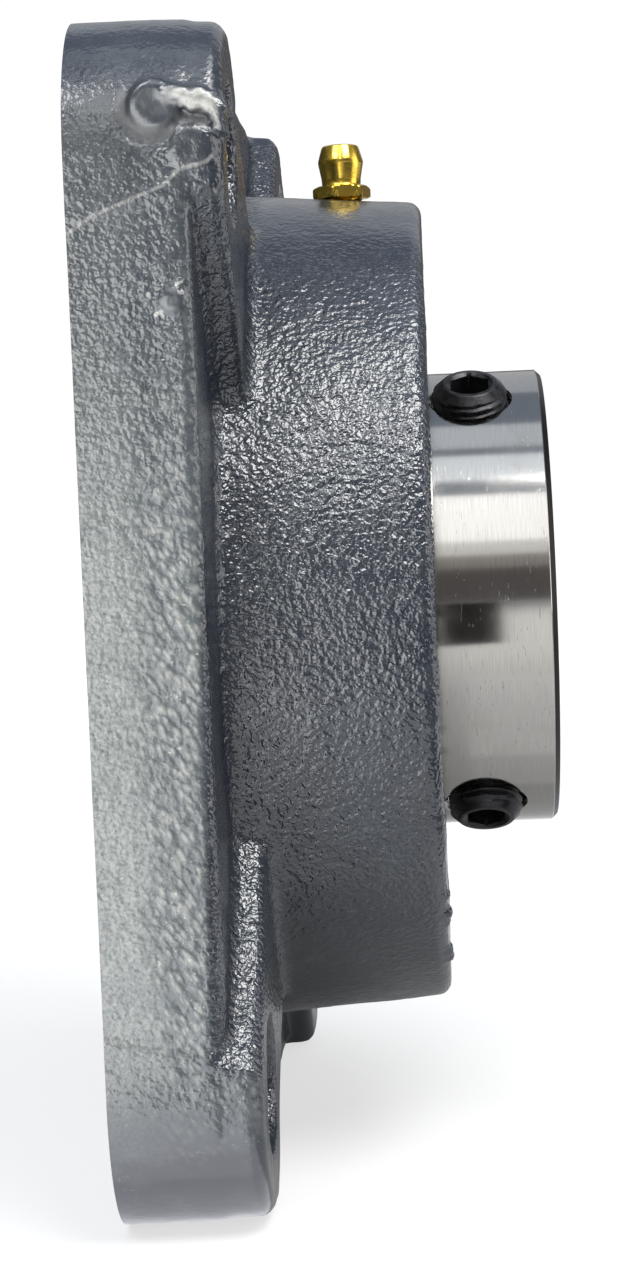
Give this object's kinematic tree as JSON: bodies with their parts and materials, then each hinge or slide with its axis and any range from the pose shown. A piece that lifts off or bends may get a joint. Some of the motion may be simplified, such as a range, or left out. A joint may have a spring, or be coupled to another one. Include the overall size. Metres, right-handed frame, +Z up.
{
  "type": "flange mount bearing",
  "caption": "Square-flange cast housing with a self-aligning ball bearing insert, held to a shaft by set screws and greased through a nipple.",
  "frame": {"origin": "centre of the back mounting face, on the bearing axis", "axes": "+X along the shaft axis out of the front, +Z up through the grease nipple, +Y sideways to complete the right-handed frame"},
  "size_m": [0.0554, 0.143, 0.143],
  "materials": {
    "enamel": "glossy slate-grey enamel over rough sand-cast iron",
    "ring_steel": "turned and ground bearing steel",
    "ball_steel": "polished bearing steel",
    "sheet_steel": "pressed sheet steel, satin",
    "seal_rubber": "matt black nitrile rubber",
    "black_oxide": "oiled black oxide on alloy steel",
    "gold_plate": "yellow zinc plate, glossy"
  },
  "bodies": {
    "fixed_housing": {"housing": "enamel", "grease_nipple": "gold_plate", "nipple_spring": "sheet_steel"},
    "nipple_valve": {"nipple_ball": "ball_steel"},
    "insert": {"outer_ring": "ring_steel", "seal_core_front": "sheet_steel", "seal_lip_front": "seal_rubber", "seal_core_rear": "sheet_steel", "seal_lip_rear": "seal_rubber"},
    "rotor": {"inner_ring": "ring_steel", "slinger_front": "sheet_steel", "slinger_rear": "sheet_steel"},
    "cage": {"cage_front": "sheet_steel", "cage_rear": "sheet_steel", "cage_rivet_01": "sheet_steel", "cage_rivet_02": "sheet_steel", "cage_rivet_03": "sheet_steel", "cage_rivet_04": "sheet_steel", "cage_rivet_05": "sheet_steel", "cage_rivet_06": "sheet_steel", "cage_rivet_07": "sheet_steel", "cage_rivet_08": "sheet_steel", "cage_rivet_09": "sheet_steel", "cage_rivet_10": "sheet_steel"},
    "screw_upper": {"set_screw_upper": "black_oxide"},
    "screw_lower": {"set_screw_lower": "black_oxide"},
    "rolling_ball_01": {"ball_01": "ball_steel"},
    "rolling_ball_02": {"ball_02": "ball_steel"},
    "rolling_ball_03": {"ball_03": "ball_steel"},
    "rolling_ball_04": {"ball_04": "ball_steel"},
    "rolling_ball_05": {"ball_05": "ball_steel"},
    "rolling_ball_06": {"ball_06": "ball_steel"},
    "rolling_ball_07": {"ball_07": "ball_steel"},
    "rolling_ball_08": {"ball_08": "ball_steel"},
    "rolling_ball_09": {"ball_09": "ball_steel"},
    "rolling_ball_10": {"ball_10": "ball_steel"}
  },
  "joints": [
    {"name": "insert_align", "type": "hinge", "parent": "fixed_housing", "child": "insert", "pos_m": [0.022, 0, 0], "axis": [0, 1, 0], "range_deg": [-2, 2]},
    {"name": "shaft_spin", "type": "hinge", "parent": "insert", "child": "rotor", "pos_m": [0.022, 0, 0], "axis": [1, 0, 0], "continuous": true},
    {"name": "cage_spin", "type": "hinge", "parent": "insert", "child": "cage", "pos_m": [0.022, 0, 0], "axis": [1, 0, 0], "continuous": true},
    {"name": "ball_01_spin", "type": "hinge", "parent": "cage", "child": "rolling_ball_01", "pos_m": [0.022, 0, 0.035], "axis": [1, 0, 0], "continuous": true},
    {"name": "ball_02_spin", "type": "hinge", "parent": "cage", "child": "rolling_ball_02", "pos_m": [0.022, 0.02057, 0.02832], "axis": [1, 0, 0], "continuous": true},
    {"name": "ball_03_spin", "type": "hinge", "parent": "cage", "child": "rolling_ball_03", "pos_m": [0.022, 0.03329, 0.01082], "axis": [1, 0, 0], "continuous": true},
    {"name": "ball_04_spin", "type": "hinge", "parent": "cage", "child": "rolling_ball_04", "pos_m": [0.022, 0.03329, -0.01082], "axis": [1, 0, 0], "continuous": true},
    {"name": "ball_05_spin", "type": "hinge", "parent": "cage", "child": "rolling_ball_05", "pos_m": [0.022, 0.02057, -0.02832], "axis": [1, 0, 0], "continuous": true},
    {"name": "ball_06_spin", "type": "hinge", "parent": "cage", "child": "rolling_ball_06", "pos_m": [0.022, 0, -0.035], "axis": [1, 0, 0], "continuous": true},
    {"name": "ball_07_spin", "type": "hinge", "parent": "cage", "child": "rolling_ball_07", "pos_m": [0.022, -0.02057, -0.02832], "axis": [1, 0, 0], "continuous": true},
    {"name": "ball_08_spin", "type": "hinge", "parent": "cage", "child": "rolling_ball_08", "pos_m": [0.022, -0.03329, -0.01082], "axis": [1, 0, 0], "continuous": true},
    {"name": "ball_09_spin", "type": "hinge", "parent": "cage", "child": "rolling_ball_09", "pos_m": [0.022, -0.03329, 0.01082], "axis": [1, 0, 0], "continuous": true},
    {"name": "ball_10_spin", "type": "hinge", "parent": "cage", "child": "rolling_ball_10", "pos_m": [0.022, -0.02057, 0.02832], "axis": [1, 0, 0], "continuous": true},
    {"name": "set_screw_upper_travel", "type": "slide", "parent": "rotor", "child": "screw_upper", "axis": [0, -0.5, 0.866], "range_m": [-0.003, 0.005]},
    {"name": "set_screw_lower_travel", "type": "slide", "parent": "rotor", "child": "screw_lower", "axis": [0, -0.5, -0.866], "range_m": [-0.003, 0.005]},
    {"name": "nipple_valve_press", "type": "slide", "parent": "fixed_housing", "child": "nipple_valve", "axis": [0, 0, 1], "range_m": [-0.0012, 0], "stiffness_N_per_m": 300, "springref_m": 0.002, "deforming": ["nipple_spring"]}
  ],
  "couplings": [
    {"joint": "cage_spin", "follows": "shaft_spin", "ratio": 0.40929},
    {"joint": "ball_01_spin", "follows": "shaft_spin", "ratio": -2.6652},
    {"joint": "ball_02_spin", "follows": "shaft_spin", "ratio": -2.6652},
    {"joint": "ball_03_spin", "follows": "shaft_spin", "ratio": -2.6652},
    {"joint": "ball_04_spin", "follows": "shaft_spin", "ratio": -2.6652},
    {"joint": "ball_05_spin", "follows": "shaft_spin", "ratio": -2.6652},
    {"joint": "ball_06_spin", "follows": "shaft_spin", "ratio": -2.6652},
    {"joint": "ball_07_spin", "follows": "shaft_spin", "ratio": -2.6652},
    {"joint": "ball_08_spin", "follows": "shaft_spin", "ratio": -2.6652},
    {"joint": "ball_09_spin", "follows": "shaft_spin", "ratio": -2.6652},
    {"joint": "ball_10_spin", "follows": "shaft_spin", "ratio": -2.6652}
  ]
}
